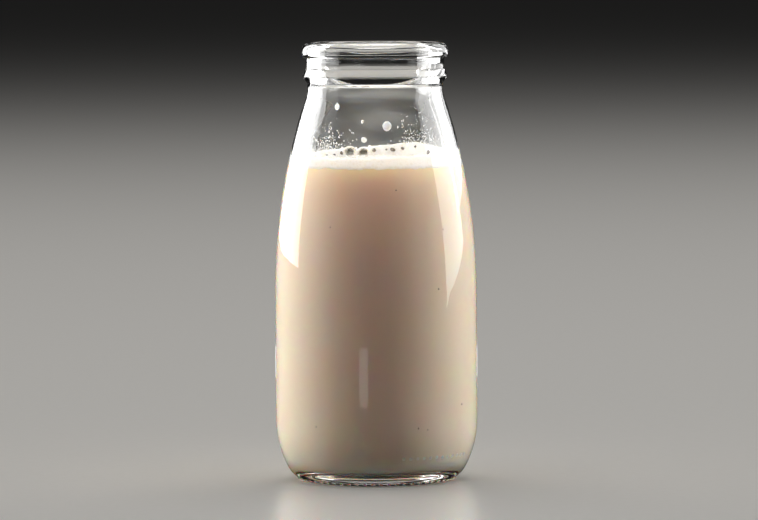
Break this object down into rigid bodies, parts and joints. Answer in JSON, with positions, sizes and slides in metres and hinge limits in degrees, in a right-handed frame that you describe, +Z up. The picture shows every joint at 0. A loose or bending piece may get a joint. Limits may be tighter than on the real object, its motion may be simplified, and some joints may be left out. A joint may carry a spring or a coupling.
{
  "type": "bottle of milk",
  "caption": "Small round clear glass dairy bottle with a rolled lip and a bead round its neck, filled to the shoulder with milk under a thin layer of froth.",
  "frame": {"origin": "centre of the ring that the bottle stands on, in the plane of the table", "axes": "+Z up along the bottle's axis of turning, -Y towards the front; the row of pips is low on the front right, towards +X"},
  "size_m": [0.0624, 0.0624, 0.1354],
  "materials": {
    "clear_glass": "clear moulded soda-lime glass, smooth and glossy, with a few tiny seeds",
    "milk": "whole milk: opaque warm white, slightly translucent, wet gloss where it meets the glass",
    "froth": "milk froth: white and fine-bubbled, with some larger clear bubbles"
  },
  "bodies": {
    "root": {"bottle": "clear_glass", "milk": "milk", "froth": "froth"}
  },
  "joints": []
}
